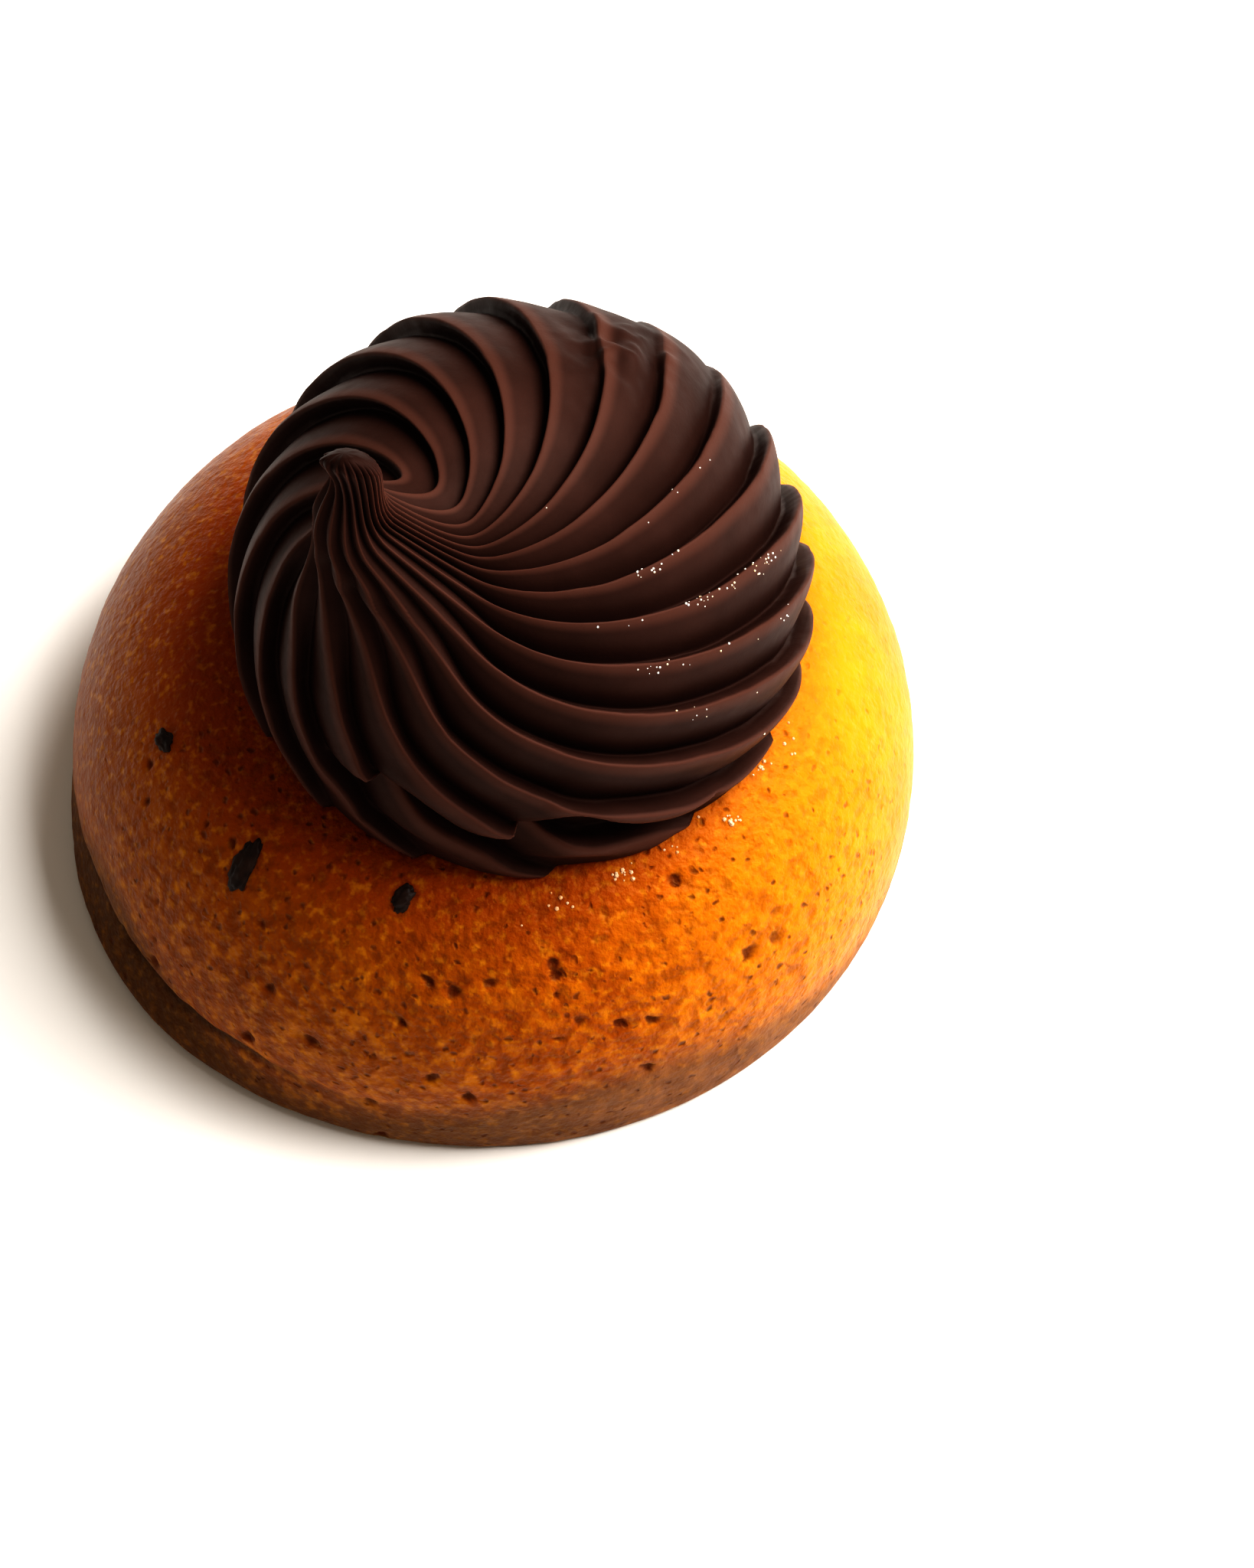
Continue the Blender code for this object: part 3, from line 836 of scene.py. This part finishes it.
def fold_shape(place):
    """How far the gap under the top turn goes in, and how far the turn's edge stands out over it."""
    x, y, z = (place - MOUND_CENTRE).parts()
    azimuth = y.calc("ARCTAN2", x)
    level = (z / root(x * x + y * y + z * z)).calc("ARCCOSINE")
    edge = FOLD_LEVEL - FOLD_LEFT * step(*FOLD_LEFT_SPAN, azimuth)
    edge = edge + FOLD_FAR_LEFT * step(*FOLD_FAR_LEFT_SPAN, azimuth)
    edge = edge - FOLD_RISE * bell((azimuth - FOLD_RISE_AZIMUTH) / FOLD_RISE_SPREAD)
    edge = edge + FOLD_RIGHT * step(*FOLD_RIGHT_SPAN, azimuth)
    reach = step(*FOLD_LEFT_END, azimuth) * step(*FOLD_RIGHT_END, azimuth)
    under = (level - edge) / FOLD_WIDTH
    gap = step(*FOLD_WALL, under) * (1.0 - under).calc("MAXIMUM", 0.0) ** FOLD_CURVE * reach
    lip = bell((under - FOLD_LIP_PLACE) / FOLD_LIP_SPREAD) * reach
    return gap, lip


def seated(carved, along):
    """Places kept clear of the crust, and those past the seat drawn in under the mound to close it."""
    x, y, z = carved.parts()
    tuck = ((along - 1.0) / (1.0 / SHOWN_ROWS - 1.0)).calc("MAXIMUM", 0.0)
    x = MOUND_CENTRE.x + (x - MOUND_CENTRE.x) * (1.0 - tuck)
    y = MOUND_CENTRE.y + (y - MOUND_CENTRE.y) * (1.0 - tuck)
    floor = crust_height(root(x * x + y * y)) + GAP
    under = step(0.0, 0.001, tuck)
    z = z.calc("MAXIMUM", floor) * (1.0 - under) + floor * under
    return vector(x, y, z)


def make_ganache():
    """The swirl, wrapped from a ball of rows and columns."""
    sizes = {
        "Columns": RIDGES * COLUMNS_A_RIDGE,
        "Rows": MOUND_ROWS,
        "Ridges": float(RIDGES),
        "Ridge depth": RIDGE_DEPTH,
        "Mound radius": MOUND_RADIUS,
        "Fold depth": FOLD_DEPTH,
    }
    recipe = Recipe("Swirl", sizes)
    x, y, z = recipe.place().parts()
    along = z.calc("ARCCOSINE") / (SHOWN_ROWS * math.pi)
    ridge = y.calc("ARCTAN2", x) * recipe.size("Ridges") * (-0.5 / math.pi) + 2.0 * RIDGES
    start = FIRST_RIDGE - ridge * (2.0 * math.pi / RIDGES)
    from_axis = seat_angle(start) * along.calc("MINIMUM", 1.0) ** ROW_CROWDING
    turn = swirl_turn(start, from_axis)
    outwards, sideways = mound_direction(from_axis, turn)

    reach = tip_reach(turn)
    pull = tip_pull(from_axis, reach)
    sideways = turned_over(sideways, pull)
    at_knuckle = bell(wrapped(turn - KNUCKLE_TURN) / KNUCKLE_WIDTH)
    widened = tip_widening(from_axis, turn, at_knuckle)
    place = recipe.size("Mound radius") * outwards + MOUND_CENTRE + widened * sideways
    place = place + pull * TIP_PULL + step(TIP_HOOK_START, 1.0, pull) * TIP_HOOK
    fan = bell(wrapped(turn - FAN_TURN) / FAN_WIDTH) * bell((from_axis - FAN_PLACE) / FAN_SPREAD)
    place = place + fan * FAN

    on_mound = step(MOUND_SPAN[0] * reach, MOUND_SPAN[1] * reach, from_axis)
    past_knuckle = step(KNUCKLE_PLACE + KNUCKLE_SPREAD, KNUCKLE_PLACE - KNUCKLE_SPREAD, from_axis)
    jog = KNUCKLE_JOG * past_knuckle * at_knuckle
    wander = WANDER * cloud(place, 110.0, 1.0, 2.0) * on_mound
    wander = wander + FINE_WANDER * cloud(place, 700.0, 1.0, 6.0)
    furrow = furrow_shape(ridge + jog + wander)
    merged, worn = merged_ridges(from_axis, turn)
    _, back, _ = outwards.parts()
    depth = recipe.size("Ridge depth") * sin(from_axis.calc("MINIMUM", 0.5 * math.pi)) ** RIDGE_DEPTH_CURVE
    depth = depth * step(0.3 * TIP_CAP, TIP_CAP, from_axis) * (1.0 + DEEPER_ON_TIP * (1.0 - on_mound))
    depth = depth * (1.0 + UNEVEN_DEPTH * cloud(place, 60.0, 1.0, 4.0))
    depth = depth * (1.0 - worn) * (1.0 - SHALLOWER_AT_SEAT * step(*SEAT_SPAN, along))
    depth = depth * (1.0 - SHALLOWER_AT_BACK * step(*BACK_SPAN, back))

    gap, lip = fold_shape(place)
    swell = SWELL * cloud(place, 110.0, 2.0, 7.0) * on_mound
    swell = swell + (MERGED_SWELL + MERGED_LUMPS * cloud(place, 330.0, 1.0, 1.0)) * merged
    swell = swell + TIP_LUMPS * cloud(place, 700.0, 2.0, 12.0) * step(*TIP_LUMPS_SPAN, pull)
    carve = on_mound * outwards + (1.0 - on_mound) * sideways
    clockwise = sin(turn) * DOWN - cos(turn) * ACROSS
    cut = (clockwise * (RIDGE_LEAN * on_mound) - carve) * (depth * furrow)
    carved = place + cut + outwards * (swell - recipe.size("Fold depth") * gap + FOLD_LIP * lip)

    # At the tip's very end the colour takes the valleys' painted shade and no crest highlight.
    shown_furrow = 1.0 - (1.0 - furrow) * step(*TIP_SHADE, from_axis)
    marked = recipe.keep(recipe.ball(), "furrow", shown_furrow)
    recipe.end(recipe.moved(marked, Position=seated(carved, along)), ganache_paint())
    return recipe.make("swirl")


def make_flecks():
    """Flakes of chocolate lying in the crust: squashed balls with uneven sides, in one mesh."""
    flakes = bmesh.new()
    for degrees, radius, length, width, turn in FLECKS:
        azimuth = math.radians(degrees)
        radius = radius * MM
        ball = bmesh.ops.create_icosphere(flakes, subdivisions=4, radius=1.0)
        size = Vector((0.5 * length * MM, 0.5 * width * MM, 0.5 * FLECK_THICKNESS))
        slope = Vector((math.cos(azimuth), math.sin(azimuth), 0.0))
        rise = (crust_height(radius + MM) - crust_height(radius - MM)) / (2.0 * MM)
        up = Vector((-rise * slope.x, -rise * slope.y, 1.0)).normalized()
        lying = up.to_track_quat("Z", "Y").to_matrix() @ Matrix.Rotation(math.radians(turn), 3, "Z")
        middle = slope * radius + Vector((0.0, 0.0, crust_height(radius)))
        for vert in ball["verts"]:
            seed = vert.co * 1.3 + Vector((degrees, turn, 0.0))
            uneven = 1.0 + 0.45 * noise.noise(seed) + 0.2 * noise.noise(seed * 3.1)
            vert.co = middle + lying @ (vert.co * uneven * size)
    mesh = bpy.data.meshes.new("flecks")
    flakes.to_mesh(mesh)
    flakes.free()
    mesh.shade_smooth()
    mesh.materials.append(fleck_paint())
    made = bpy.data.objects.new("flecks", mesh)
    bpy.context.scene.collection.objects.link(made)
    return made


def make_sugar(name, ground, size, chance, paint):
    """Grains scattered over a finished piece, where chance, a rule for the tree's places, lets them lie."""
    recipe = Recipe(name, {"Density": SUGAR_DENSITY, "Size": size, "Seed": SEED})
    surface = recipe.node("GeometryNodeObjectInfo", {"Object": ground}, transform_space="ORIGINAL")
    values = {
        "Mesh": surface.outputs["Geometry"],
        "Density": recipe.size("Density") * chance(recipe),
        "Seed": recipe.size("Seed"),
    }
    scattered = recipe.node("GeometryNodeDistributePointsOnFaces", values)
    grain = recipe.node("GeometryNodeMeshIcoSphere", {"Radius": 1.0, "Subdivisions": 1})
    spins = {0: (-GRAIN_SPIN, -GRAIN_SPIN, -GRAIN_SPIN), 1: (GRAIN_SPIN, GRAIN_SPIN, GRAIN_SPIN)}
    spin = recipe.node("FunctionNodeRandomValue", spins, data_type="FLOAT_VECTOR")
    grow = recipe.node("FunctionNodeRandomValue", {2: GRAIN_SIZES[0], 3: GRAIN_SIZES[1]}, data_type="FLOAT")
    values = {
        "Points": scattered.outputs["Points"],
        "Instance": grain.outputs["Mesh"],
        "Rotation": Field(recipe.tree, spin.outputs[0]),
        "Scale": Field(recipe.tree, grow.outputs[1]) * recipe.size("Size"),
    }
    placed = recipe.node("GeometryNodeInstanceOnPoints", values)
    recipe.end(placed.outputs["Instances"], paint)
    return recipe.make(name, smooth=False)


def on_crests(recipe):
    """Sugar lies along the crests on the right."""
    place = recipe.place()
    away = (place - SWIRL_SUGAR_CENTRE).length()
    patch = bell(away / SWIRL_SUGAR_SPREAD) * step(0.16, 0.03, recipe.kept("furrow"))
    return patch * step(-0.1, 0.35, cloud(place, 260.0, 1.0, 5.0))


def round_ganache(recipe):
    """Sugar lies in an arc close to the ganache at the front right."""
    place = recipe.place()
    x, y, z = place.parts()
    off_ring = root(x * x + y * y) - CRUST_SUGAR_RADIUS
    off_arc = y.calc("ARCTAN2", x) - CRUST_SUGAR_AZIMUTH
    ring = bell(off_ring / CRUST_SUGAR_SPREAD) * step(*CRUST_SUGAR_SPAN, z)
    return ring * bell(off_arc / CRUST_SUGAR_ARC) * step(0.0, 0.3, cloud(place, 300.0, 1.0, 3.0))


def make_floor():
    """A plain white floor, just under the cake."""
    mesh = bpy.data.meshes.new("floor")
    half = FLOOR_HALF
    corners = [(-half, -half, 0), (half, -half, 0), (half, half, 0), (-half, half, 0)]
    mesh.from_pydata(corners, [], [(0, 1, 2, 3)])
    floor = bpy.data.objects.new("floor", mesh)
    bpy.context.scene.collection.objects.link(floor)
    mesh.materials.append(Paint("White table", FLOOR_WHITE, 0.6).material)
    floor.location.z = -FLOOR_DROP


def make_camera():
    """The camera, looking along +Y and down, and rolled a little."""
    data = bpy.data.cameras.new("camera")
    data.sensor_fit = "AUTO"
    data.sensor_width = SENSOR_WIDTH
    data.lens = CAMERA_LENS
    data.clip_start = 0.01
    data.clip_end = 20.0
    camera = bpy.data.objects.new("camera", data)
    bpy.context.scene.collection.objects.link(camera)
    forward = Vector((0.0, math.cos(CAMERA_HEIGHT_ANGLE), -math.sin(CAMERA_HEIGHT_ANGLE)))
    level = Vector((1.0, 0.0, 0.0))
    upward = level.cross(forward)
    right = math.cos(CAMERA_ROLL) * level + math.sin(CAMERA_ROLL) * upward
    up = right.cross(forward)
    place = CAMERA_TARGET - CAMERA_DISTANCE * forward
    camera.matrix_world = Matrix.Translation(place) @ Matrix((right, up, -forward)).transposed().to_4x4()
    bpy.context.scene.camera = camera


def make_window():
    """A soft square light aimed at the cake."""
    data = bpy.data.lights.new("window", "AREA")
    data.shape = "SQUARE"
    data.size = WINDOW_SIZE
    data.energy = WINDOW_POWER
    data.color = WINDOW_COLOUR
    window = bpy.data.objects.new("window", data)
    bpy.context.scene.collection.objects.link(window)
    level = math.cos(WINDOW_ELEVATION)
    towards = Vector(
        (math.cos(WINDOW_AZIMUTH) * level, math.sin(WINDOW_AZIMUTH) * level, math.sin(WINDOW_ELEVATION))
    )
    window.location = WINDOW_AIM + towards * WINDOW_DISTANCE
    window.rotation_mode = "QUATERNION"
    window.rotation_quaternion = towards.to_track_quat("Z", "Y")


def make_room():
    """The dim light of the room, and how the picture shows its tones."""
    room = bpy.data.worlds.new("Studio")
    room.use_nodes = True
    background = room.node_tree.nodes["Background"]
    background.inputs["Color"].default_value = ROOM_COLOUR
    background.inputs["Strength"].default_value = ROOM_STRENGTH
    bpy.context.scene.world = room
    bpy.context.scene.view_settings.view_transform = "Standard"
    bpy.context.scene.view_settings.look = "High Contrast"


make_camera()
make_window()
make_room()
make_floor()
crust = make_crust()
ganache = make_ganache()
flecks = make_flecks()
white = sugar_paint("White sugar", SUGAR_WHITE, SUGAR_AMBER)
peach = sugar_paint("Toasted sugar", SUGAR_PEACH, SUGAR_TOASTED)
swirl_sugar = make_sugar("sugar_on_swirl", ganache, SWIRL_GRAIN, on_crests, white)
crust_sugar = make_sugar("sugar_on_crust", crust, CRUST_GRAIN, round_ganache, peach)
for piece in (crust, ganache, flecks, swirl_sugar, crust_sugar):
    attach(piece, "root")
replacements = (
    (crust, "sponge", "crust"),
    (flecks, "sponge", "ganache"),
    (ganache, "ganache", "ganache"),
)
for piece, node, slot in replacements:
    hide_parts(node)
